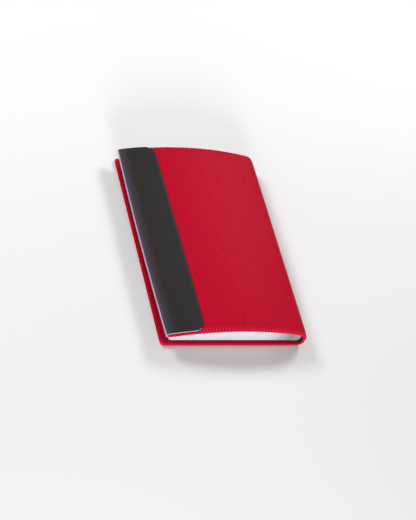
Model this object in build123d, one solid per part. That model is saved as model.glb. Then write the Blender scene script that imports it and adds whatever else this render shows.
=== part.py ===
from build123d import *
import math
import os

# Trading card binder, closed and lying on its back cover.
# +X towards the spine, +Y towards the head (top) edge, +Z up. Millimetres.
# The origin is the centre of the closed binder's footprint, on the surface it lies on.

# ---- driving dimensions ----
TOTAL_WIDTH = 190.0        # band's fore-edge to the outside of the spine
HEIGHT = 260.0             # tail to head
FRONT_OVERHANG = 4.0       # band's fore-edge past the back cover's fore-edge
CREST_HEIGHT = 36.3        # top of the arched front cover
FORE_EDGE_HEIGHT = 21.2    # top of the front cover at its fore-edge, under the band
ARCH_RADIUS = 341.0        # outside of the front cover, an arch about an axis along Y

FABRIC = 0.9               # ribbed cloth
BOARD = 1.2                # stiffener
LINING = 0.8               # inner lining, flush with the cloth's turn-in
COVER = 4.5                # whole cover: cloth, foam, stiffener, lining
TURN_IN = 12.0             # width of cloth turned over onto the covers' inner faces
SPINE_TURN_IN = 3.0        # and inside the spine
CORNER = 5.0               # cover corners at the fore-edge, seen from above

SPINE_FOOT_RADIUS = 9.0    # outside round from the back cover up to the spine
SPINE_TOP_RADIUS = 18.0    # outside round from the spine over to the front cover
FOLD_GAP_DEG = 0.5         # half of the slot where a cover meets the spine

BAND_WIDTH = 47.0          # from its fore-edge to its rounded side
BAND_CORE = 1.2            # pale core under the black face
BAND_FACE = 0.5            # black face
BAND_EDGE = 1.4            # core folded down over the cover's fore-edge
BAND_FLANGE = 0.5          # core tucked under the cover
BAND_FLANGE_WIDTH = 8.0
BAND_TAIL_INSET = 1.6
BAND_HEAD_INSET = 0.3
BAND_CORNER = 12.0

LEAVES = 20
LEAF_INSET = 4.7           # page block inside the covers' tail and head edges
LEAF_FORE_INSET = 10.0     # page block behind the back cover's fore-edge
LEAF_CORNER = 3.0
LEAF_GAP = 0.06            # air between neighbouring leaves
LEAF_STEPS = 12            # straight steps in a leaf's gentle curve
NECK = 0.3                 # single sheet between the pockets and the binding
FOLD_DEPTH = 18.0          # from the outside of the spine to the leaves' fold lines
MARGIN_HEIGHT = 16.4       # of the stack of bound margins inside the spine
BLOCK_CLEAR = 0.4          # air between the page block and the covers
NECK_START = 14.0          # from the fold line back to the pockets' weld
FOLD_CLEAR = 2.3           # from the fold line to the start of the turning part
MARGIN_CLEAR = 1.5         # from the fold line to the bound margin
STRIP = 1.0                # binding strip behind the bound margins
STRIP_ARC_DEG = 30.0       # how far it follows the round towards the front cover
STIFFENER_ARC_DEG = 25.0   # how far the spine's stiffener follows both rounds
THREAD = 0.7               # sewing thread
STITCH_PITCH = 12.0
STITCH_INSET = 2.2         # from the start of the bound margins to the row of thread
STITCH_END = 6.0           # from the leaves' head and tail edges to the first stitch

# ---- worked out ----
HALF = HEIGHT / 2
CORE_END = COVER - LINING                        # inner side of the foam and stiffener
BOARD_INSET = 1.0                                # stiffener inside the foam's edges
BOARD_HALF = HALF - FABRIC - BOARD_INSET
FORE_X = -TOTAL_WIDTH / 2 + FRONT_OVERHANG       # back cover's fore-edge
SPINE_X = TOTAL_WIDTH / 2                        # outside of the spine
FOOT = (SPINE_X - SPINE_FOOT_RADIUS, SPINE_FOOT_RADIUS)
ARCH_Z = CREST_HEIGHT - ARCH_RADIUS
ARCH_REACH = math.sqrt(ARCH_RADIUS**2 - (FORE_EDGE_HEIGHT - ARCH_Z) ** 2)
ARCH_END = math.degrees(math.atan2(FORE_EDGE_HEIGHT - ARCH_Z, -ARCH_REACH))
BAND_END = ARCH_END + math.degrees(BAND_EDGE / ARCH_RADIUS)
BAND_RADIUS = ARCH_RADIUS + BAND_CORE + BAND_FACE
ARCH_X = -TOTAL_WIDTH / 2 - BAND_RADIUS * math.cos(math.radians(BAND_END))
ARCH = (ARCH_X, ARCH_Z)
FRONT_FORE_X = ARCH_X - ARCH_REACH               # front cover's fore-edge, inside the band
TOP_X = SPINE_X - SPINE_TOP_RADIUS
TOP_Z = ARCH_Z + math.sqrt((ARCH_RADIUS - SPINE_TOP_RADIUS) ** 2 - (TOP_X - ARCH_X) ** 2)
TOP = (TOP_X, TOP_Z)
ARCH_START = math.degrees(math.atan2(TOP_Z - ARCH_Z, TOP_X - ARCH_X))
FOLD_X = SPINE_X - FOLD_DEPTH                    # line that every leaf folds on
BOARD_STOP_X = FOLD_X - 4                        # the stiffeners stop short of the spine
BLOCK_FORE_X = FORE_X + LEAF_FORE_INSET
BLOCK_HALF = HALF - LEAF_INSET
BLOCK_BOTTOM = COVER + BLOCK_CLEAR

os.makedirs("parts", exist_ok=True)


def on_circle(centre, radius, degrees):
    a = math.radians(degrees)
    return (centre[0] + radius * math.cos(a), centre[1] + radius * math.sin(a))


def arc(centre, radius, start, end):
    middle = (start + end) / 2
    return ThreePointArc(*(on_circle(centre, radius, a) for a in (start, middle, end)))


def arch_height(x, depth=0.0):
    """Height of the front cover's arch at x, depth inside its outer face."""
    return ARCH_Z + math.sqrt((ARCH_RADIUS - depth) ** 2 - (x - ARCH_X) ** 2)


def closed(outer, inner):
    """Face between two chains of edges that both run the same way."""
    start = Line(outer[0] @ 0, inner[0] @ 0)
    end = Line(outer[-1] @ 1, inner[-1] @ 1)
    return make_face([*outer, end, *inner, start])


def prism(face, half_length):
    """The section (x, z) carried along Y, from -half_length to half_length."""
    solid = Rot(90, 0, 0) * extrude(face, amount=2 * half_length)
    return Pos(0, half_length, 0) * solid


def plan(fore_x, half_length, radius):
    """Tall block whose two fore-edge corners are rounded; it runs on past the spine."""
    reach = 2 * TOTAL_WIDTH
    sketch = RectangleRounded(reach, 2 * half_length, radius)
    return Pos(fore_x + reach / 2, 0, -10) * extrude(sketch, amount=80)


# ---- chains of edges at a depth inside the outer face ----
def back_chain(depth, fore_x, end=-45 - FOLD_GAP_DEG):
    radius = SPINE_FOOT_RADIUS - depth
    return [Line((fore_x, depth), (FOOT[0], depth)), arc(FOOT, radius, -90, end)]


def spine_chain(depth, start=-45 + FOLD_GAP_DEG, end=45 - FOLD_GAP_DEG):
    return [
        arc(FOOT, SPINE_FOOT_RADIUS - depth, start, 0),
        Line((SPINE_X - depth, FOOT[1]), (SPINE_X - depth, TOP[1])),
        arc(TOP, SPINE_TOP_RADIUS - depth, 0, end),
    ]


def front_chain(depth, fore_inset=0.0):
    end = ARCH_END - math.degrees(fore_inset / ARCH_RADIUS)
    return [
        arc(TOP, SPINE_TOP_RADIUS - depth, 45 + FOLD_GAP_DEG, ARCH_START),
        arc(ARCH, ARCH_RADIUS - depth, ARCH_START, end),
    ]


def cover_pieces(chain, fore_x, board_face):
    """Cloth, foam, stiffener and lining of one cover. chain(depth, inset) is its section."""
    full = prism(closed(chain(0, 0), chain(COVER, 0)), HALF)
    full &= plan(fore_x, HALF, CORNER)
    core = prism(closed(chain(FABRIC, FABRIC), chain(CORE_END, FABRIC)), HALF - FABRIC)
    core &= plan(fore_x + FABRIC, HALF - FABRIC, CORNER - FABRIC)
    lining = prism(closed(chain(CORE_END, TURN_IN), chain(COVER, TURN_IN)), HALF - TURN_IN)
    board = prism(board_face, BOARD_HALF)
    board &= plan(fore_x + FABRIC + BOARD_INSET, BOARD_HALF, CORNER)
    return {
        "fabric": full - core - lining,
        "foam": core - board,
        "board": board,
        "lining": lining,
    }


# ---- back cover ----
back_board_face = make_face(
    Polyline(
        (FORE_X - 1, CORE_END - BOARD),
        (BOARD_STOP_X, CORE_END - BOARD),
        (BOARD_STOP_X, CORE_END),
        (FORE_X - 1, CORE_END),
        close=True,
    )
)
back = cover_pieces(lambda d, inset: back_chain(d, FORE_X + inset), FORE_X, back_board_face)

# ---- front cover ----
front_board_start = math.degrees(math.acos((BOARD_STOP_X - ARCH_X) / ARCH_RADIUS))
front_board_end = ARCH_END - math.degrees((FABRIC + 2 * BOARD_INSET) / ARCH_RADIUS)
front_board_face = closed(
    [arc(ARCH, ARCH_RADIUS - CORE_END + BOARD, front_board_start, front_board_end)],
    [arc(ARCH, ARCH_RADIUS - CORE_END, front_board_start, front_board_end)],
)
front = cover_pieces(front_chain, FRONT_FORE_X, front_board_face)

# ---- spine ----
spine_core = prism(closed(spine_chain(FABRIC), spine_chain(CORE_END)), HALF - FABRIC)
spine_lining = prism(closed(spine_chain(CORE_END), spine_chain(COVER)), HALF - SPINE_TURN_IN)
spine_full = prism(closed(spine_chain(0), spine_chain(COVER)), HALF)
spine_stay_face = closed(
    spine_chain(CORE_END - BOARD, -STIFFENER_ARC_DEG, STIFFENER_ARC_DEG),
    spine_chain(CORE_END, -STIFFENER_ARC_DEG, STIFFENER_ARC_DEG),
)
spine_stay = prism(spine_stay_face, BOARD_HALF)
spine = {
    "fabric": spine_full - spine_core - spine_lining,
    "foam": spine_core - spine_stay,
    "stiffener": spine_stay,
    "lining": spine_lining,
}


# ---- black band over the front cover's fore-edge ----
def sector(low, high, start, end):
    """Part of the arch between two depths and two angles; depth is outwards when negative."""
    return closed(
        [arc(ARCH, ARCH_RADIUS - low, start, end)],
        [arc(ARCH, ARCH_RADIUS - high, start, end)],
    )


def along(distance):
    """Angle of the arch at a distance from the front cover's fore-edge."""
    return ARCH_END - math.degrees(distance / ARCH_RADIUS)


band_half = HALF - (BAND_TAIL_INSET + BAND_HEAD_INSET) / 2
band_shift = (BAND_TAIL_INSET - BAND_HEAD_INSET) / 2
band_side = along(BAND_WIDTH - BAND_EDGE)
band_reach = 2 * BAND_WIDTH
band_plan = Pos(SPINE_X - TOTAL_WIDTH - band_reach / 2 + BAND_WIDTH, 0, -10) * extrude(
    RectangleRounded(band_reach, 2 * band_half, BAND_CORNER), amount=80
)


def band_solid(face):
    return Pos(0, band_shift, 0) * (prism(face, band_half) & band_plan)


core_face = sector(-BAND_CORE, COVER + BAND_FLANGE, band_side - 1, along(-BAND_EDGE))
core_face -= sector(-0.02, COVER + 0.02, band_side - 2, along(-0.02))
core_face -= sector(COVER - 0.5, COVER + 2, band_side - 2, along(BAND_FLANGE_WIDTH))
band_core = band_solid(core_face)
band_face = band_solid(
    sector(-BAND_CORE - BAND_FACE, -BAND_CORE, band_side - 1, along(-BAND_EDGE))
)


# ---- leaves ----
def block_height(x):
    """Thickness of the page block at x: it fills the space under the arch."""
    return arch_height(x, COVER) - BLOCK_CLEAR - BLOCK_BOTTOM


def leaf_line(x0, x1, share, lift=0.0):
    """Points from x0 to x1 that stand at this share of the page block's thickness."""
    xs = [x0 + (x1 - x0) * i / LEAF_STEPS for i in range(LEAF_STEPS + 1)]
    return [(x, BLOCK_BOTTOM + share * block_height(x) + lift) for x in xs]


MARGIN_PITCH = MARGIN_HEIGHT / LEAVES


def fold_height(index):
    return BLOCK_BOTTOM + (index + 0.5) * MARGIN_PITCH


def leaf(index):
    """One pocket leaf: full thickness up to the inner weld, then a thin neck to its fold."""
    weld_x = FOLD_X - NECK_START
    under = leaf_line(BLOCK_FORE_X, weld_x, index / LEAVES)
    over = leaf_line(BLOCK_FORE_X, weld_x, (index + 1) / LEAVES, -LEAF_GAP)
    neck_x, neck_z = FOLD_X - FOLD_CLEAR, fold_height(index)
    neck = [(neck_x, neck_z - NECK / 2), (neck_x, neck_z + NECK / 2)]
    section = make_face(Polyline(*under, *neck, *reversed(over), close=True))
    return prism(section, BLOCK_HALF) & plan(BLOCK_FORE_X, BLOCK_HALF, LEAF_CORNER)


def margin_end(z):
    """How far a bound margin reaches into the hollow of the spine, from its worst corner."""
    clear = COVER + STRIP
    low, high = z - MARGIN_PITCH / 2, z + MARGIN_PITCH / 2
    if low < FOOT[1]:
        room = (SPINE_FOOT_RADIUS - COVER) ** 2 - (FOOT[1] - low) ** 2
        return FOOT[0] + math.sqrt(max(room, 0)) - BLOCK_CLEAR
    if high > TOP[1]:
        room = (SPINE_TOP_RADIUS - clear) ** 2 - (high - TOP[1]) ** 2
        return TOP[0] + math.sqrt(max(room, 0))
    return SPINE_X - clear


def margin(index):
    """The edge of one leaf that the binding strip holds."""
    z = fold_height(index)
    x0, x1 = FOLD_X + MARGIN_CLEAR, min(margin_end(z), SPINE_X - COVER - STRIP)
    section = Pos((x0 + x1) / 2, z) * Rectangle(x1 - x0, MARGIN_PITCH - LEAF_GAP)
    return prism(section, BLOCK_HALF)


margins = [margin(i) for i in range(LEAVES)]

# ---- binding: a strip along the spine's inside, and thread sewn through the margins ----
strip_face = closed(
    spine_chain(COVER, end=STRIP_ARC_DEG)[1:], spine_chain(COVER + STRIP, end=STRIP_ARC_DEG)[1:]
)
binding_strip = prism(strip_face, BLOCK_HALF)


def stitch(y):
    """One pass of thread, straight down through every bound margin."""
    rod = Cylinder(THREAD / 2, MARGIN_HEIGHT - LEAF_GAP)
    x, z = FOLD_X + MARGIN_CLEAR + STITCH_INSET, BLOCK_BOTTOM + MARGIN_HEIGHT / 2
    return Pos(x, y, z) * rod


stitch_gaps = round((2 * BLOCK_HALF - 2 * STITCH_END) / STITCH_PITCH)
stitch_step = (2 * BLOCK_HALF - 2 * STITCH_END) / stitch_gaps
stitches = [stitch(-BLOCK_HALF + STITCH_END + i * stitch_step) for i in range(stitch_gaps + 1)]

# ---- files ----
for name, solid in back.items():
    export_step(solid, f"parts/back_{name}.step")
for name, solid in front.items():
    export_step(solid, f"parts/front_{name}.step")
for name, solid in spine.items():
    export_step(solid, f"parts/spine_{name}.step")
export_step(band_core, "parts/band_core.step")
export_step(band_face, "parts/band_face.step")
export_step(Compound(margins), "parts/leaf_margins.step")
export_step(binding_strip, "parts/binding_strip.step")
export_step(Compound(stitches), "parts/binding_thread.step")
for i in range(LEAVES):
    export_step(leaf(i), f"parts/leaf_{i + 1:02d}.step")

foot_fold = on_circle(FOOT, SPINE_FOOT_RADIUS, -45)
top_fold = on_circle(TOP, SPINE_TOP_RADIUS, 45)
print("spine_hinge at", [round(v, 3) for v in foot_fold])
print("front_hinge at", [round(v, 3) for v in top_fold])
print("leaf folds at x", FOLD_X, "z", [round(fold_height(i), 3) for i in range(LEAVES)])
print("arch centre", [round(v, 3) for v in ARCH], "top centre", [round(v, 3) for v in TOP])
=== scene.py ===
import math
import random

import bmesh
import bpy
from mathutils import Matrix, Vector

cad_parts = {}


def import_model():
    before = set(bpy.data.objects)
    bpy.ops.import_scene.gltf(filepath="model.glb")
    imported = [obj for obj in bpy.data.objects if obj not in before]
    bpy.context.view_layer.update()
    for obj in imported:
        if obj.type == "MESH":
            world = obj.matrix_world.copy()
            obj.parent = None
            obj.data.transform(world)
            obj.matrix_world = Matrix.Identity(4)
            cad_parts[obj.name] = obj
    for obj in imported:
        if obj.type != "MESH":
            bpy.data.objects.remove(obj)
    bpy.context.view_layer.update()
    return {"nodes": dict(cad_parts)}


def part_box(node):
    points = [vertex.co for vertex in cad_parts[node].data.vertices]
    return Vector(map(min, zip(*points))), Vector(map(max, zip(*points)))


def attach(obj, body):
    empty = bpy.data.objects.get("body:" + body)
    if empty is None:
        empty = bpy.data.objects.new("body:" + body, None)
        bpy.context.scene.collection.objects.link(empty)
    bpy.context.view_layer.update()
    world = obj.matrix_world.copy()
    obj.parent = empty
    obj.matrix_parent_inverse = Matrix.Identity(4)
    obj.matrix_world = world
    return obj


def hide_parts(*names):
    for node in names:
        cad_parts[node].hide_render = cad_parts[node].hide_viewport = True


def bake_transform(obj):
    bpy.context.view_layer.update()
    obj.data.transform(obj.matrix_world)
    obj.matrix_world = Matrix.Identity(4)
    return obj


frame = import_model()

# A closed, book-like card binder on its back cover: +X to the spine, +Y to the head, +Z up.
# Lengths in this script are metres. MM turns a length in millimetres into metres.
MM = 0.001

# ---- the binder's shape, as the CAD model has it ----
COVER = 4.5 * MM           # thickness of a whole cover
FOOT_RADIUS = 9 * MM       # outside round between back cover and spine
TOP_RADIUS = 18 * MM       # outside round between spine and front cover
ARCH_RADIUS = 341 * MM
LEAVES = 20
LEAF_CLEAR = 0.4 * MM      # air between the page block and the covers
MARGIN_CLEAR = 1.5 * MM    # from the leaves' fold line to the bound margins
MARGIN_GAP = 0.06 * MM     # air between neighbouring bound margins

back_low, back_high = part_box("back_fabric")
front_low, front_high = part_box("front_fabric")
_, spine_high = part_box("spine_fabric")
leaf_low, leaf_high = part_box("leaf_01")
margin_low, margin_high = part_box("leaf_margins")
band_low, band_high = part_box("band_face")

HALF = back_high.y                        # tail and head edges are at -HALF and +HALF
FORE_X = back_low.x                       # back cover's fore-edge
SPINE_X = spine_high.x                    # outside of the spine
FOOT = Vector((SPINE_X - FOOT_RADIUS, FOOT_RADIUS))
ARCH_Z = front_high.z - ARCH_RADIUS
FRONT_EDGE_Z = 21.2 * MM                  # top of the front cover at its fore-edge
ARCH_REACH = math.sqrt(ARCH_RADIUS**2 - (FRONT_EDGE_Z - ARCH_Z) ** 2)
ARCH = Vector((front_low.x + ARCH_REACH, ARCH_Z))
TOP_X = SPINE_X - TOP_RADIUS
TOP_Z = ARCH_Z + math.sqrt((ARCH_RADIUS - TOP_RADIUS) ** 2 - (TOP_X - ARCH.x) ** 2)
TOP = Vector((TOP_X, TOP_Z))
ARCH_START = math.atan2(TOP_Z - ARCH_Z, TOP_X - ARCH.x)
WALL_MIDDLE = (FOOT.y + TOP.y) / 2
FOLD_X = margin_low.x - MARGIN_CLEAR      # the leaves' fold line


# =====================================================================================
# Mesh helpers
# =====================================================================================
def new_mesh(name, verts, faces, smooth=True):
    mesh = bpy.data.meshes.new(name)
    mesh.from_pydata([tuple(v) for v in verts], [], faces)
    mesh.validate()
    mesh.polygons.foreach_set("use_smooth", [smooth] * len(mesh.polygons))
    mesh.update()
    obj = bpy.data.objects.new(name, mesh)
    bpy.context.scene.collection.objects.link(obj)
    return obj


def face_outwards(obj):
    bm = bmesh.new()
    bm.from_mesh(obj.data)
    bmesh.ops.recalc_face_normals(bm, faces=bm.faces)
    bm.to_mesh(obj.data)
    bm.free()
    obj.data.update()


def strip_cap(ring):
    """Closes a long thin ring of vertex numbers with a strip between its two long sides."""
    n = len(ring)
    faces = []
    for i in range(n // 2 - 1):
        a, b = ring[i], ring[i + 1]
        c, d = ring[n - 2 - i], ring[n - 1 - i]
        faces.append((a, b, c, d) if b != c else (a, b, d))
    return faces


def rings_to_mesh(name, rings):
    """Closed skin over rings of equal length, with a strip cap at both ends."""
    count, size = len(rings), len(rings[0])
    verts = [p for ring in rings for p in ring]
    faces = []
    for i in range(count - 1):
        for j in range(size):
            k = (j + 1) % size
            a, b = i * size, (i + 1) * size
            faces.append((a + j, a + k, b + k, b + j))
    faces += strip_cap(list(range(size)))
    faces += strip_cap([(count - 1) * size + j for j in range(size)])
    obj = new_mesh(name, verts, faces)
    face_outwards(obj)
    return obj


def vertex_value(obj, name, values):
    """A number on every vertex, for the material to read."""
    attribute = obj.data.attributes.new(name, "FLOAT", "POINT")
    attribute.data.foreach_set("value", values)


def round_off(depth, radius):
    """How far a rounded corner draws the ends in, depth behind its edge."""
    if depth >= radius:
        return 0.0
    return radius - math.sqrt(max(radius**2 - (radius - depth) ** 2, 0.0))


def rounded(share, least):
    """Height of a rounded edge, from least at its foot (share 0) to 1 (share 1)."""
    return least + (1 - least) * math.sqrt(max(share * (2 - share), 0.0))


def smooth(share):
    """0 to 1 with a gentle start and end."""
    return share * share * (3 - 2 * share)


END_ROWS = (0.055, 0.035, 0.022, 0.0125, 0.0055, 0)   # shares of the length left to the end
INNER_ROWS = 13


def row_places(low, high):
    """Places from low, at the tail, to high, at the head, closer together near both."""
    ends = [1 - e for e in END_ROWS]
    shares = [ends[0] * i / INNER_ROWS for i in range(INNER_ROWS)] + ends
    return [share * low for share in reversed(shares[1:])] + [share * high for share in shares]


# =====================================================================================
# The covers' line, seen from the tail: a point on the outside and the way inwards
# =====================================================================================
FORE_BEND = math.atan2(FRONT_EDGE_Z - ARCH_Z, -ARCH_REACH)
FLAT = FOOT.x - FORE_X
FOOT_BEND = FOOT_RADIUS * math.pi / 2
ARCH_LENGTH = (FORE_BEND - ARCH_START) * ARCH_RADIUS
TOP_BEND = ARCH_START * TOP_RADIUS
LOWER_LENGTH = FLAT + FOOT_BEND + WALL_MIDDLE - FOOT.y
UPPER_LENGTH = ARCH_LENGTH + TOP_BEND + TOP.y - WALL_MIDDLE


def lower_at(s):
    """Back cover and lower spine, s from the back cover's fore-edge."""
    if s <= FLAT:
        return Vector((FORE_X + s, 0)), Vector((0, 1))
    if s <= FLAT + FOOT_BEND:
        a = -math.pi / 2 + (s - FLAT) / FOOT_RADIUS
        out = Vector((math.cos(a), math.sin(a)))
        return FOOT + out * FOOT_RADIUS, -out
    return Vector((SPINE_X, FOOT.y + s - FLAT - FOOT_BEND)), Vector((-1, 0))


def upper_at(s):
    """Front cover and upper spine, s from the front cover's fore-edge."""
    if s <= ARCH_LENGTH:
        a = FORE_BEND - s / ARCH_RADIUS
        out = Vector((math.cos(a), math.sin(a)))
        return ARCH + out * ARCH_RADIUS, -out
    if s <= ARCH_LENGTH + TOP_BEND:
        a = ARCH_START - (s - ARCH_LENGTH) / TOP_RADIUS
        out = Vector((math.cos(a), math.sin(a)))
        return TOP + out * TOP_RADIUS, -out
    return Vector((SPINE_X, TOP.y - (s - ARCH_LENGTH - TOP_BEND))), Vector((-1, 0))


# Draw-in of the front cover's fore-edge, as a quadratic in the share of the height:
# 3.3 mm at the tail, none two thirds of the way up, 0.7 mm at the head.
DRAW_IN = (3.29 * MM, -9.69 * MM, 7.14 * MM)
DRAW_IN_FADE = 70 * MM                    # it fades out over this distance along the cover


def fore_shift(y):
    """How far the front cover's fore-edge is drawn in at y."""
    t = (y + HALF) / (2 * HALF)
    return DRAW_IN[0] + DRAW_IN[1] * t + DRAW_IN[2] * t * t


def no_shift(y):
    return 0.0


def shifted(s, y, shift):
    """Distance along the line, drawn in near the fore-edge by shift(y)."""
    fade = max(0.0, 1 - s / DRAW_IN_FADE)
    return s + shift(y) * fade * fade


# =====================================================================================
# Ribbed cloth covers
# =====================================================================================
RIB_PITCH = 3.87 * MM
RIB_SAMPLES = (0.0, 0.05, 0.14, 0.32, 0.5, 0.68, 0.86, 0.95)   # shares of one rib
RIB_ROUNDNESS = 0.9
CORNER = 5 * MM                    # fore-edge corner at the tail
HEAD_CORNER = 3.5 * MM             # and at the head
SPINE_CORNER = 0.8 * MM            # the spine's cloth is drawn in a little at the tail
SPINE_HEAD_CORNER = 3 * MM         # and more at the head
SKIN = COVER - 0.3 * MM            # the lining's face stands this much proud of the cloth
CROWN = {"back": 0.1 * MM, "front": 0.7 * MM}   # fall of the outer face towards its ends
SAG = {"back": 0.0, "front": 0.9 * MM}          # and of the inner face, outside the leaves
HEAD_HIGHLIGHT_SHARE = 0.35                  # the painted highlight on the ribs' crests is weaker at the head than at the tail
FACE_RIB = 0.2 * MM                # depth between ribs on the broad faces
EDGE_RIB = 0.85 * MM               # where the cloth turns over the head and tail edges
INNER_RIB = 0.42 * MM              # and on the turn-in
CLOTH_HALF = HALF + 0.6 * MM       # the crests of the ribs at the head and tail edges
FORE_STEPS, END_STEPS = 8, 9       # points round the fore-edge, and round the ends
END_FULLNESS = 0.45                # 1 would be a round end; less is squarer
THINNEST = 0.1 * MM
# Distances from the ends over which a change dies out:
EDGE_REACH = 5 * MM                # deep ribs on the outer face, and the painted highlight on its crests
CROWN_REACH = 8 * MM               # the outer face's fall
TURN_IN_REACH = 16 * MM            # ribs on the inner face
CREST_HIGHLIGHT_REACH = 4 * MM               # painted highlight on the crests of the inner face
SAG_REACH = 2.4 * MM               # the inner face's fall


def rib_stations(run, seed):
    """(distance, groove from 0 to 1) along a run that ends in a groove at its far end."""
    rng = random.Random(seed)
    grooves = [run]
    while grooves[-1] > RIB_PITCH * 0.6:
        grooves.append(grooves[-1] - RIB_PITCH * rng.uniform(0.95, 1.05))
    stations = []
    for far, near in zip(grooves, grooves[1:]):
        weight = rng.uniform(0.8, 1.15)
        for t in RIB_SAMPLES:
            s = far + (near - far) * t
            if s > 0:
                stations.append((s, weight * (1 - abs(math.sin(math.pi * t)) ** RIB_ROUNDNESS)))
    return sorted(stations)


def round_end(from_y, way, reach, outer, inner):
    """Ring points over the end of the cloth; way is 1 at the head and -1 at the tail."""
    points = []
    for j in range(1, END_STEPS):
        a = way * (math.pi * j / END_STEPS - math.pi / 2)
        y = from_y + way * reach * math.cos(a) ** END_FULLNESS
        depth = (outer if a < 0 else inner) * math.sin(a)
        points.append((y, depth, 1.0, max(math.sin(a), 0.0) ** 4))
    return points


def cover_skin(name, at, length, shift, seed, crown, sag):
    """The cloth over one cover and half of the spine, closed, from the fore-edge to a seam."""
    half = SKIN / 2
    stations = []
    for i in range(1, FORE_STEPS + 1):
        a = math.pi / 2 * i / FORE_STEPS
        stations.append((half * (1 - math.cos(a)), half * math.sin(a), 0.0))
    for s, groove in rib_stations(length - half, seed):
        stations.append((half + s, half, groove))
    rings, grooves, crest_highlights, turned = [], [], [], []
    for s, h, groove in stations:
        p, _ = at(s)
        spine_depth = SPINE_X - p.x
        drawn = round_off(s, CORNER) + round_off(spine_depth, SPINE_CORNER)
        drawn_head = round_off(s, HEAD_CORNER) + round_off(spine_depth, SPINE_HEAD_CORNER)
        low, high = -CLOTH_HALF + drawn + half, CLOTH_HALF - drawn_head - half
        rows = row_places(low, high)
        crest = max(0.0, 1 - groove) ** 2
        end = max(h - groove * EDGE_RIB, THINNEST)
        outer_end = max(end - crown, THINNEST)
        full_sag = sag * h / half
        inner_end = max(h - groove * INNER_RIB, THINNEST) + full_sag
        # Ring points: (y, depth from the middle, share of the painted highlight on the rib
        # crests, share turned in, which takes the painted shade).
        ring = []
        for y in rows:
            from_end = min(y - low, high - y)
            edge = max(0.0, 1 - from_end / EDGE_REACH)
            depth = groove * (FACE_RIB + (EDGE_RIB - FACE_RIB) * edge)
            depth += crown * max(0.0, 1 - from_end / CROWN_REACH) ** 2
            ring.append((y, -max(h - depth, THINNEST), edge, 0.0))
        ring += round_end(high, 1, end, outer_end, inner_end)
        for y in reversed(rows):
            from_end = min(y - low, high - y)
            rib = groove * INNER_RIB * max(0.0, 1 - from_end / TURN_IN_REACH)
            fall = full_sag * max(0.0, 1 - from_end / SAG_REACH)
            highlight_share = max(0.0, 1 - from_end / CREST_HIGHLIGHT_REACH)
            ring.append((y, max(h - rib, THINNEST) + fall, highlight_share, 1.0))
        ring += round_end(low, -1, end, outer_end, inner_end)
        start = (END_STEPS - 1) // 2   # the ring starts in the middle of the tail end
        ring = ring[-start:] + ring[:-start]
        points = []
        for y, d, highlight_share, inside in ring:
            q, inward = at(shifted(s, y, shift))
            q = q + inward * (half + d)
            points.append((q.x, y, q.y))
            grooves.append(min(groove, 1.0))
            # painted highlight on the rib crests near the ends, weaker at the head
            crest_highlights.append(crest * highlight_share * (HEAD_HIGHLIGHT_SHARE if y > 0 else 1.0))
            turned.append(inside)
        rings.append(points)
    skin = rings_to_mesh(name, rings)
    vertex_value(skin, "rib_groove_shade", grooves)
    vertex_value(skin, "rib_crest_highlight", crest_highlights)
    vertex_value(skin, "turned_in_shade", turned)
    return skin


# =====================================================================================
# Foam and lining
# =====================================================================================
LAYER_STEPS = 110
SOFT_START = (0.35, 0.8)           # thickness of a layer's first steps, as shares
FOAM_INSET, FOAM_DEPTH, FOAM_THICK = 9 * MM, 1.7 * MM, 1.4 * MM
LINING_INSET, LINING_DEPTH, LINING_THICK = 12 * MM, 4.1 * MM, 0.8 * MM
LINING_CORNER = 2 * MM
LINING_WAVE = 0.03 * MM
SPINE_LINING = 10 * MM             # the lining's extra length inside the spine, at the tail
SPINE_LINING_HEAD = 0.6            # share of it at the head, where the cloth is drawn in
SPINE_LINING_FADE = 4 * MM


def layer(
    name, at, length, shift, near, depth, thick, corner,
    spine_from=0.0, spine_longer=0.0, wave=0.0, seed=0,
):
    """A flat layer inside a cover, near inside its edges, with depth to the layer's middle.

    From spine_from along the line its ends are longer, by spine_longer at the tail.
    """
    rng = random.Random(seed)
    half = thick / 2
    rings = []
    for i in range(LAYER_STEPS + 1):
        s = near + (length - near) * i / LAYER_STEPS
        h = half * (SOFT_START[i] if i < len(SOFT_START) else 1.0)
        reach = HALF - near - round_off(s - near, corner)
        into = min(max((s - spine_from) / SPINE_LINING_FADE, 0.0), 1.0)
        longer = spine_longer * smooth(into)
        tail, head = reach + longer, reach + SPINE_LINING_HEAD * longer
        rows = row_places(-tail, head)
        lift = [wave * rng.uniform(-1, 1) for _ in rows]
        top = [(y, -h) for y in rows]
        low = [(y, h - w) for y, w in zip(reversed(rows), lift)]
        bulge, shoulder = 0.7 * h, 0.4 * h
        ring = [(-tail - bulge, -shoulder)] + top
        ring += [(head + bulge, -shoulder), (head + bulge, shoulder)] + low
        ring += [(-tail - bulge, shoulder)]
        points = []
        for y, d in ring:
            q, inward = at(shifted(s, y, shift))
            q = q + inward * (depth + d)
            points.append((q.x, y, q.y))
        rings.append(points)
    return rings_to_mesh(name, rings)


# =====================================================================================
# Band over the front cover's fore-edge: black face on a pale core
# =====================================================================================
BAND_TAIL, BAND_HEAD = band_low.y, band_high.y
BAND_CORNER = 12 * MM
BAND_CORE = 1.2 * MM
BAND_FACE = 0.5 * MM
BAND_LEG = 1.4 * MM                # core folded down over the cover's fore-edge
BAND_FLANGE = 8 * MM               # core tucked under the cover
BAND_SIDE = 47.5 * MM              # rounded side at the tail, from the straight fore-edge
BAND_TAPER = 3.6 * MM              # it is that much nearer at the head
BAND_DROP = 0.9 * MM               # the band falls towards the fore-edge
BAND_DROP_WIDTH = 8 * MM
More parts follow.
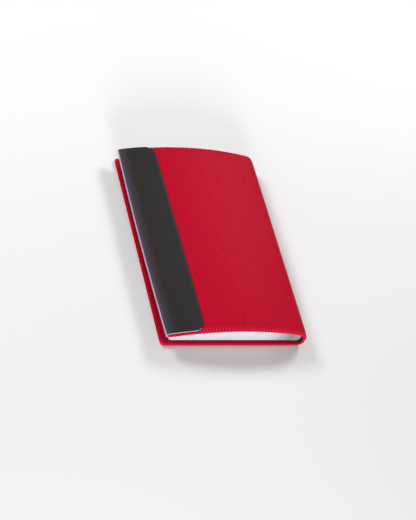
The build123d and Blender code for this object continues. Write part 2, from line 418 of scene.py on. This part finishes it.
# Distances from the band's ends where its rings stand, in millimetres.
BAND_END_ROWS = (0, 0.12, 0.35, 0.7, 1.2, 1.9, 2.8, 3.9, 5.3, 7.0, 9.2, 12)
BAND_ROWS = 40
FACE_INSET = 0.3 * MM              # pale core left showing at the tail
FACE_WRAP = 0.45 * MM              # the face passes the core's side by this less the inset
FACE_WRAP_DEPTH = 1.0 * MM
FACE_NEAR = -0.75 * MM             # the face's edge on the fold; the pale core left showing there is a painted highlight along the fold
FACE_SOFT = 0.4 * MM               # width of its rounded edges
FACE_STEPS = 30
FOLD_HIGHLIGHT_REACH = 15 * MM                # painted highlight on the face, fading out over this distance from the fold
CONTACT = 0.02 * MM                # air between the core and the cover


def band_side(y, inset):
    """Distance from the front cover's fore-edge to the band's rounded side, at y."""
    t = (y - BAND_TAIL) / (BAND_HEAD - BAND_TAIL)
    side = BAND_SIDE - BAND_TAPER * t - fore_shift(y) - inset
    from_end = min(y - BAND_TAIL, BAND_HEAD - y) - inset
    return side - round_off(max(from_end, 0.0), BAND_CORNER - inset)


def band_stations(inset):
    low, high = BAND_TAIL + inset, BAND_HEAD - inset
    ends = [e * MM for e in BAND_END_ROWS]
    run = high - low - 2 * ends[-1]
    middle = [low + ends[-1] + run * i / BAND_ROWS for i in range(1, BAND_ROWS)]
    return [low + e for e in ends] + middle + [high - e for e in reversed(ends)]


def on_cover(s, y, depth):
    """Point depth under the front cover's outer face; s may be before its fore-edge."""
    if depth < BAND_FACE:
        soft = max(0.0, 1 - (s + BAND_LEG) / BAND_DROP_WIDTH)
        depth += BAND_DROP * soft * soft
    a = FORE_BEND - (s + fore_shift(y)) / ARCH_RADIUS
    out = Vector((math.cos(a), math.sin(a)))
    q = ARCH + out * (ARCH_RADIUS - depth)
    return (q.x, y, q.y)


def band_face_mesh():
    """Black face: an even layer with softly rounded edges that wraps the core's side, with a
    painted highlight towards the fold.
    """
    low, high = BAND_TAIL + FACE_INSET, BAND_HEAD - FACE_INSET
    rings, fold_highlight = [], []
    for y in band_stations(FACE_INSET):
        side = band_side(y, FACE_INSET) + FACE_WRAP * min((y - low) / MM, 1.0)
        rise = BAND_FACE * rounded(min(y - low, high - y, FACE_SOFT) / FACE_SOFT, 0.25)
        top, under, light = [], [], []
        for i in range(FACE_STEPS + 1):
            s = side + (FACE_NEAR - side) * i / FACE_STEPS
            soft = min(side - s, s - FACE_NEAR, FACE_SOFT) / FACE_SOFT
            wrap = FACE_WRAP_DEPTH if i == 0 else 0.05 * MM
            top.append(on_cover(s, y, -BAND_CORE - rise * rounded(soft, 0.35)))
            under.append(on_cover(s, y, -BAND_CORE + wrap))
            light.append(max(0.0, 1 - s / FOLD_HIGHLIGHT_REACH) ** 2)
        rings.append(top + under[::-1])
        fold_highlight += light + light[::-1]
    face = rings_to_mesh("band_black_face", rings)
    vertex_value(face, "fold_highlight", fold_highlight)
    return face


def band_core_mesh():
    """Pale core: over the cover, down its fore-edge, and tucked under as a flange. Its pale
    colour is partly the band's own pale core and partly a painted highlight along the fold.
    """
    over_steps, fold_steps, flange_steps = 24, 9, 8
    leg_start, flange_start = -0.55 * BAND_LEG, -0.8 * BAND_LEG
    fold_height = COVER + 1.7 * MM
    rings = []
    for y in band_stations(0.0):
        side = band_side(y, 0.0)
        outer, inner = [], []
        for i in range(over_steps + 1):
            s = side + (leg_start - side) * i / over_steps
            outer.append(on_cover(s, y, -BAND_CORE))
            inner.append(on_cover(max(s, -CONTACT), y, -CONTACT))
        for i in range(1, fold_steps):
            t = i / fold_steps
            bulge = BAND_LEG * (0.8 + 0.2 * math.sin(math.pi * t))
            outer.append(on_cover(-bulge, y, -BAND_CORE + fold_height * t))
            inner.append(on_cover(-CONTACT, y, COVER * t))
        reach = min(BAND_FLANGE, side)
        for i in range(flange_steps + 1):
            s = flange_start + (reach - flange_start) * i / flange_steps
            outer.append(on_cover(s, y, COVER + BAND_FACE))
            inner.append(on_cover(max(s, 0.0), y, COVER + CONTACT))
        rings.append(outer + inner[::-1])
    return rings_to_mesh("band_pale_core", rings)


# =====================================================================================
# Leaves: a white centre sheet with two by two welded pockets on each side
# =====================================================================================
BLOCK_BOTTOM = COVER + LEAF_CLEAR
BLOCK_FORE = leaf_low.x
BLOCK_HALF = leaf_high.y
BLOCK_SPINE = FOLD_X - 14 * MM     # where the pockets end and the neck begins
NECK_END = FOLD_X + 2 * MM
LEAF_GAP = 0.07 * MM
NECK = 0.42 * MM
LEAF_CORNER = 3 * MM
WELD = 3 * MM                      # width of the welds between pockets
EDGE_WELD = 2.2 * MM               # and of the weld round the leaf, as far from its edge
WELD_DEPTH = 0.42                  # share of the leaf's thickness
FORE_SPREAD, END_SPREAD = 0.5 * MM, 0.35 * MM   # how unevenly the leaves' edges stand
SHADE_START = SHADE_WIDTH = 42 * MM           # painted shade: the film is darker towards the binding
# Where the rows of points stand: near an edge, and at a weld, in millimetres.
EDGE_ROWS = (0, 0.25, 0.7, 1.4, 2.2, 3.0, 4.2, 7.0)
WELD_ROWS = (-2.0, -1.0, 0.0, 1.0, 2.0)
HALF_ROWS = (0, 1.0, 2.0, 12, 30, 50, 70, 90, 105, 115)
NECK_STEPS = 12
COLUMN_WELD = BLOCK_FORE + (BLOCK_SPINE - BLOCK_FORE) / 2
MARGIN_PITCH = (margin_high.z - margin_low.z + MARGIN_GAP) / LEAVES


def block_height(x):
    under = ARCH_Z + math.sqrt((ARCH_RADIUS - COVER) ** 2 - (x - ARCH.x) ** 2)
    return under - LEAF_CLEAR - BLOCK_BOTTOM


def dip(distance, width):
    """1 in the middle of a weld line and 0 beyond its sides, smoothly."""
    t = abs(distance) / (width / 2)
    return (1 - t * t) ** 2 if t < 1 else 0.0


def leaf_rows(fore):
    """Places across a leaf, from its fore-edge to the end of its neck."""
    span = BLOCK_SPINE - fore
    xs = [fore + f * MM for f in EDGE_ROWS]
    xs += [fore + span * f for f in (0.1, 0.17, 0.25, 0.33, 0.41, 0.46)]
    xs += [COLUMN_WELD + d * MM for d in WELD_ROWS]
    xs += [fore + span * f for f in (0.54, 0.6, 0.68, 0.76, 0.84, 0.9, 0.95)]
    xs += [BLOCK_SPINE + d * MM for d in (-3.0, -2.0, -1.0, 0.0)]
    neck = NECK_END - BLOCK_SPINE
    return xs + [BLOCK_SPINE + neck * i / NECK_STEPS for i in range(1, NECK_STEPS + 1)]


def leaf_mesh(index):
    """One leaf: pockets thick between their welds, then a neck that bends to its fold."""
    rng = random.Random(100 + index)
    fold_z = BLOCK_BOTTOM + (index + 0.5) * MARGIN_PITCH
    fore = BLOCK_FORE + rng.uniform(0.0, FORE_SPREAD)
    tail = -BLOCK_HALF + rng.uniform(0.0, END_SPREAD)
    head = BLOCK_HALF - rng.uniform(0.0, END_SPREAD)
    ys = [y * MM for y in HALF_ROWS] + [BLOCK_HALF - f * MM for f in reversed(EDGE_ROWS)]
    fractions = [y / BLOCK_HALF for y in ys]
    fractions = [-f for f in reversed(fractions[1:])] + fractions
    middle, spread = (head + tail) / 2, (head - tail) / 2
    rings, welds = [], []
    for x in leaf_rows(fore):
        drawn = round_off(x - fore, LEAF_CORNER)
        neck = (x - BLOCK_SPINE) / (FOLD_X - 1 * MM - BLOCK_SPINE)
        ease = smooth(min(max(neck, 0.0), 1.0))
        height = block_height(min(x, FOLD_X))
        share_z = BLOCK_BOTTOM + (index + 0.5) / LEAVES * height
        z_line = share_z + (fold_z - share_z) * ease
        full = height / LEAVES - LEAF_GAP
        h = (full + (NECK - full) * ease) / 2
        over, under, line = [], [], []
        for f in fractions:
            y = middle + f * (spread - drawn)
            edge = min(x - fore, y - tail - drawn, head - drawn - y)
            weld = max(
                dip(x - COLUMN_WELD, WELD),
                dip(y, WELD),
                dip(x - BLOCK_SPINE + 1.0 * MM, WELD),
                0.8 * dip(edge - EDGE_WELD, EDGE_WELD) if x < BLOCK_SPINE else 0.0,
            )
            rounding = 1 - 0.45 * max(0.0, 1 - edge / (0.7 * MM)) ** 2
            half = h * rounding * (1 - WELD_DEPTH * weld * (1 - ease))
            over.append((x, y, z_line + half))
            under.append((x, y, z_line - half))
            inside = min(max(edge / (4 * MM) - 0.2, 0.0), 1.0)
            line.append(weld * (1 - ease) * inside)
        rings.append(over + under[::-1])
        welds += line + line[::-1]
    leaf = rings_to_mesh(f"leaf_{index + 1:02d}_pockets", rings)
    towards = [(v.co.x - SHADE_START) / SHADE_WIDTH for v in leaf.data.vertices]
    vertex_value(leaf, "binding_shade", [min(max(t, 0.0), 1.0) for t in towards])
    vertex_value(leaf, "weld", welds)
    return leaf, fold_z


# =====================================================================================
# Sewing thread: short runs between the holes, above and below the bound margins
# =====================================================================================
STITCH_INSET = 2.2 * MM            # from the start of the bound margins
STITCH_END = 6 * MM                # from the leaves' head and tail edges
STITCH_PITCH = 12 * MM
THREAD_RADIUS = 0.19 * MM
THREAD_SIDES = 8
STITCH_BOW = 0.1 * MM              # how far a run stands off the margins
STITCH_HOLE = 0.3 * MM


def bar(verts, faces, points):
    """Adds a round bar along points (x, y, z) that all have the same x."""
    base, n = len(verts), THREAD_SIDES
    side = Vector((1, 0, 0))
    for i, point in enumerate(points):
        before, after = points[max(i - 1, 0)], points[min(i + 1, len(points) - 1)]
        up = (Vector(after) - Vector(before)).normalized().cross(side)
        for j in range(n):
            a = 2 * math.pi * j / n
            out = side * math.cos(a) + up * math.sin(a)
            verts.append(tuple(Vector(point) + out * THREAD_RADIUS))
    for i in range(len(points) - 1):
        for j in range(n):
            k = (j + 1) % n
            a, b = base + i * n, base + (i + 1) * n
            faces.append((a + j, a + k, b + k, b + j))
    faces.append(tuple(base + j for j in reversed(range(n))))
    faces.append(tuple(base + (len(points) - 1) * n + j for j in range(n)))


def thread_mesh():
    x = margin_low.x + STITCH_INSET
    low, high = margin_low.z, margin_high.z
    first, last = -BLOCK_HALF + STITCH_END, BLOCK_HALF - STITCH_END
    count = round((last - first) / STITCH_PITCH)
    step = (last - first) / count
    verts, faces = [], []
    for i in range(count):
        y0, y1 = first + i * step, first + (i + 1) * step
        z, bow = (high, STITCH_BOW) if i % 2 == 0 else (low, -STITCH_BOW)
        run = [(x, y0, z - 4 * bow), (x, y0 + STITCH_HOLE, z + bow)]
        run += [(x, y1 - STITCH_HOLE, z + bow), (x, y1, z - 4 * bow)]
        bar(verts, faces, run)
    for i in range(count + 1):
        y = first + i * step
        bar(verts, faces, [(x, y, low + STITCH_HOLE), (x, y, high - STITCH_HOLE)])
    obj = new_mesh("sewing_thread", verts, faces)
    face_outwards(obj)
    return obj


# =====================================================================================
# Materials
# =====================================================================================
def material(name):
    mat = bpy.data.materials.new(name)
    mat.use_nodes = True
    nodes = mat.node_tree.nodes
    return mat, nodes, mat.node_tree.links, nodes["Principled BSDF"]


def add(nodes, kind, **values):
    node = nodes.new(kind)
    for key, value in values.items():
        setattr(node, key, value)
    return node


def noise_colour(nodes, links, shader, low, high, scale, detail=5, stretch=(1, 1, 1)):
    """Base colour between low and high by a fine noise, which is returned for the bump."""
    where = add(nodes, "ShaderNodeTexCoord")
    mapping = add(nodes, "ShaderNodeMapping")
    mapping.inputs["Scale"].default_value = stretch
    links.new(where.outputs["Object"], mapping.inputs["Vector"])
    noise = add(nodes, "ShaderNodeTexNoise")
    noise.inputs["Scale"].default_value = scale
    noise.inputs["Detail"].default_value = detail
    links.new(mapping.outputs["Vector"], noise.inputs["Vector"])
    ramp = add(nodes, "ShaderNodeValToRGB")
    ramp.color_ramp.elements[0].position = 0.3
    ramp.color_ramp.elements[0].color = (*low, 1)
    ramp.color_ramp.elements[1].position = 0.7
    ramp.color_ramp.elements[1].color = (*high, 1)
    links.new(noise.outputs["Fac"], ramp.inputs["Fac"])
    links.new(ramp.outputs["Color"], shader.inputs["Base Color"])
    return noise


def bump(nodes, links, shader, height, strength, distance):
    node = add(nodes, "ShaderNodeBump")
    node.inputs["Strength"].default_value = strength
    node.inputs["Distance"].default_value = distance
    links.new(height, node.inputs["Height"])
    links.new(node.outputs["Normal"], shader.inputs["Normal"])


def tint(mat, attribute, colour, kind="MIX"):
    """Mixes colour into the base colour where the mesh's attribute says so."""
    nodes, links = mat.node_tree.nodes, mat.node_tree.links
    shader = nodes["Principled BSDF"]
    tone = shader.inputs["Base Color"].links[0].from_socket
    value = add(nodes, "ShaderNodeAttribute", attribute_name=attribute)
    mix = add(nodes, "ShaderNodeMix", data_type="RGBA", blend_type=kind)
    factor, first, second, result = mix.inputs[0], mix.inputs[6], mix.inputs[7], mix.outputs[2]
    second.default_value = colour
    links.new(value.outputs["Fac"], factor)
    links.new(tone, first)
    links.new(result, shader.inputs["Base Color"])


def red_cloth():
    """Satin-like cloth, with painted shade in its grooves and on the turned-in cloth, and a
    painted highlight on the rib crests near the edges.
    """
    mat, nodes, links, shader = material("ribbed_red_cloth")
    low, high = (0.44, 0.0028, 0.019), (0.52, 0.0036, 0.025)
    noise = noise_colour(nodes, links, shader, low, high, 900, 6, (1, 0.25, 1))
    for attribute, colour, kind in (
        # painted shade: the cloth darker in the grooves between the ribs
        ("rib_groove_shade", (0.86, 0.76, 0.8, 1), "MULTIPLY"),
        # painted highlight: pale pink on the rib crests near the head and tail edges
        ("rib_crest_highlight", (0.6, 0.021, 0.06, 1), "MIX"),
        ("turned_in_shade", (0.78, 0.65, 0.72, 1), "MULTIPLY"),
    # painted shade: the turned-in cloth darker
    ):
        tint(mat, attribute, colour, kind)
    bump(nodes, links, shader, noise.outputs["Fac"], 0.35, 0.00012)
    shader.inputs["Roughness"].default_value = 0.45
    shader.inputs["Specular IOR Level"].default_value = 0.02
    shader.inputs["Sheen Weight"].default_value = 0.004
    shader.inputs["Sheen Roughness"].default_value = 0.35
    shader.inputs["Sheen Tint"].default_value = (1.0, 0.3, 0.45, 1)
    return mat


def plain(name, colour, roughness, specular=0.4, scale=200, contrast=0.08, grain=0.00005):
    """Moulded or coated surface with a little colour variation and a fine grain."""
    mat, nodes, links, shader = material(name)
    low = [c * (1 - contrast) for c in colour]
    high = [min(1, c * (1 + contrast)) for c in colour]
    noise = noise_colour(nodes, links, shader, low, high, scale)
    bump(nodes, links, shader, noise.outputs["Fac"], 0.3, grain)
    shader.inputs["Roughness"].default_value = roughness
    shader.inputs["Specular IOR Level"].default_value = specular
    return mat


def page_film():
    """White pocket pages, with painted shade darkening the film towards the binding, and greyer
    at the welds.
    """
    mat, nodes, links, shader = material("page_film")
    noise = noise_colour(nodes, links, shader, (0.66, 0.67, 0.71), (0.70, 0.71, 0.75), 90)
    # painted shade: the film darker towards the binding
    tint(mat, "binding_shade", (0.42, 0.42, 0.45, 1), "MULTIPLY")
    tint(mat, "weld", (0.62, 0.63, 0.68, 1), "MULTIPLY")
    bump(nodes, links, shader, noise.outputs["Fac"], 0.3, 0.00004)
    shader.inputs["Roughness"].default_value = 0.3
    shader.inputs["Specular IOR Level"].default_value = 0.5
    return mat


RED = red_cloth()
BLACK = plain("band_black", (0.019, 0.0155, 0.016), 0.55, 0.16, 1400, 0.12, 0.00003)
# painted highlight: the black face lighter, purple-grey, towards the fold
tint(BLACK, "fold_highlight", (0.052, 0.041, 0.058, 1))
# pale colour: partly the band's own pale core, partly a painted highlight along the fold
PALE = plain("band_pale", (0.40, 0.42, 0.52), 0.5)
FILM = page_film()
# grey, a painted shade that matches the film's darkening towards the binding
MARGIN = plain("bound_margin_film", (0.30, 0.30, 0.33), 0.35, 0.4, 90, 0.04)
LINING = plain("charcoal_lining", (0.018, 0.018, 0.020), 0.9, 0.2, 2200, 0.35, 0.0001)
FOAM = plain("foam", (0.7, 0.69, 0.66), 0.95, 0.1, 2500, 0.1, 0.0002)
BOARD = plain("stiffener", (0.05, 0.05, 0.052), 0.5, 0.4, 300, 0.1)
BINDING = plain("binding_strip", (0.02, 0.02, 0.02), 0.6, 0.3, 400, 0.1)
THREAD = plain("thread", (0.7, 0.7, 0.72), 0.8, 0.2, 3000, 0.2)


def dress(obj, mat):
    obj.data.materials.clear()
    obj.data.materials.append(mat)
    return obj


# =====================================================================================
# Build
# =====================================================================================
def fold_ends(pivot, direction, before, after):
    """Start and end of the cloth's bend zone, before and after the pivot along the cloth."""
    step = Vector(direction).normalized()
    start, end = pivot - step * before, pivot + step * after
    return (start.x, 0, start.y), (end.x, 0, end.y)


DIAGONAL = math.sqrt(0.5)
FOOT_PIVOT = FOOT + Vector((DIAGONAL, -DIAGONAL)) * FOOT_RADIUS
TOP_PIVOT = TOP + Vector((DIAGONAL, DIAGONAL)) * TOP_RADIUS
back_fold = fold_ends(FOOT_PIVOT, (1, 1), 6.4 * MM, 6.4 * MM)
front_fold = fold_ends(TOP_PIVOT, (-1, 1), 11 * MM, 9.6 * MM)

# Where the spine starts along each line, and each cover's line, seam and bend zone.
SPINE_STARTS = {"back": FLAT, "front": ARCH_LENGTH + TOP_BEND / 4}
sides = {
    "back": (lower_at, LOWER_LENGTH, no_shift, ("back", "spine", *back_fold)),
    "front": (upper_at, UPPER_LENGTH, fore_shift, ("spine", "front", *front_fold)),
}
for seed, (side, (at, length, shift, fold)) in enumerate(sides.items()):
    skin = cover_skin(f"{side}_cover_cloth", at, length, shift, seed, CROWN[side], SAG[side])
    dress(skin, RED)
    foam = layer(
        f"{side}_cover_foam", at, length, shift, FOAM_INSET, FOAM_DEPTH, FOAM_THICK, CORNER
    )
    dress(foam, FOAM)
    lining = layer(
        f"{side}_cover_lining", at, length, shift, LINING_INSET, LINING_DEPTH, LINING_THICK,
        LINING_CORNER, SPINE_STARTS[side], SPINE_LINING, LINING_WAVE, seed,
    )
    dress(lining, LINING)
    for piece in (skin, foam, lining):
        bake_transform(piece)
    for piece, layer_name in ((skin, "fabric"), (foam, "foam"), (lining, "lining")):
        spine_too = [f"spine_{layer_name}"] if side == "back" else []
        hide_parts(f"{side}_{layer_name}", *spine_too)

for build, mat, node in (
    (band_face_mesh, BLACK, "band_face"),
    (band_core_mesh, PALE, "band_core"),
):
    piece = dress(build(), mat)
    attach(piece, "front")
    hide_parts(node)

for i in range(LEAVES):
    leaf, fold_z = leaf_mesh(i)
    name = f"leaf_{i + 1:02d}"
    dress(leaf, FILM)
    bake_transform(leaf)
    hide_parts(name)

thread = dress(thread_mesh(), THREAD)
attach(thread, "spine")
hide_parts("binding_thread")

for node, mat in {
    "back_board": BOARD,
    "front_board": BOARD,
    "spine_stiffener": BOARD,
    "leaf_margins": MARGIN,
    "binding_strip": BINDING,
}.items():
    mesh = frame["nodes"][node].data
    mesh.materials.clear()
    mesh.materials.append(mat)


# =====================================================================================
# Stage, light and camera
# =====================================================================================
def floor():
    mat, _, _, shader = material("studio_floor")
    shader.inputs["Base Color"].default_value = (0.8, 0.8, 0.79, 1)
    shader.inputs["Roughness"].default_value = 0.9
    far = 8
    corners = [(-far, -far, 0), (far, -far, 0), (far, far, 0), (-far, far, 0)]
    obj = new_mesh("floor", corners, [(0, 1, 2, 3)])
    obj.data.materials.append(mat)


def area_light(name, place, target, watts):
    data = bpy.data.lights.new(name, "AREA")
    data.energy, data.size = watts, 0.5
    obj = bpy.data.objects.new(name, data)
    bpy.context.scene.collection.objects.link(obj)
    obj.location = place
    obj.rotation_mode = "QUATERNION"
    obj.rotation_quaternion = (Vector(target) - Vector(place)).to_track_quat("-Z", "Y")


def world():
    w = bpy.data.worlds.new("studio")
    bpy.context.scene.world = w
    w.use_nodes = True
    w.node_tree.nodes["Background"].inputs["Color"].default_value = (0.96, 0.97, 1, 1)
    w.node_tree.nodes["Background"].inputs["Strength"].default_value = 0.27


def camera():
    """The viewing angle, with the camera rolled so that the tail edge lies level."""
    azimuth, elevation, roll = math.radians(-43.15), math.radians(47.1), math.radians(36.37)
    target = Vector((-8.2, -21.9, 14.9)) * MM
    distance = 1.5444
    back = Vector(
        (
            math.sin(azimuth) * math.cos(elevation),
            -math.cos(azimuth) * math.cos(elevation),
            math.sin(elevation),
        )
    )
    right = Vector((math.cos(azimuth), math.sin(azimuth), 0))
    up = back.cross(right)
    turned_right = right * math.cos(roll) + up * math.sin(roll)
    turned_up = up * math.cos(roll) - right * math.sin(roll)
    data = bpy.data.cameras.new("camera")
    data.lens, data.sensor_width = 90.7, 36
    obj = bpy.data.objects.new("camera", data)
    bpy.context.scene.collection.objects.link(obj)
    rotation = Matrix((turned_right, turned_up, back)).transposed()
    obj.matrix_world = Matrix.Translation(target + back * distance) @ rotation.to_4x4()
    bpy.context.scene.camera = obj


floor()
world()
area_light("head_left", (-1.0, 0.85, 1.0), (0, 0, 0), 15)
area_light("head_right", (0.9, 0.9, 1.0), (0, 0, 0), 14)
area_light("tail", (-0.3, -1.5, 0.4), (0, 0, 0.02), 20)
camera()
bpy.context.scene.view_settings.view_transform = "Standard"
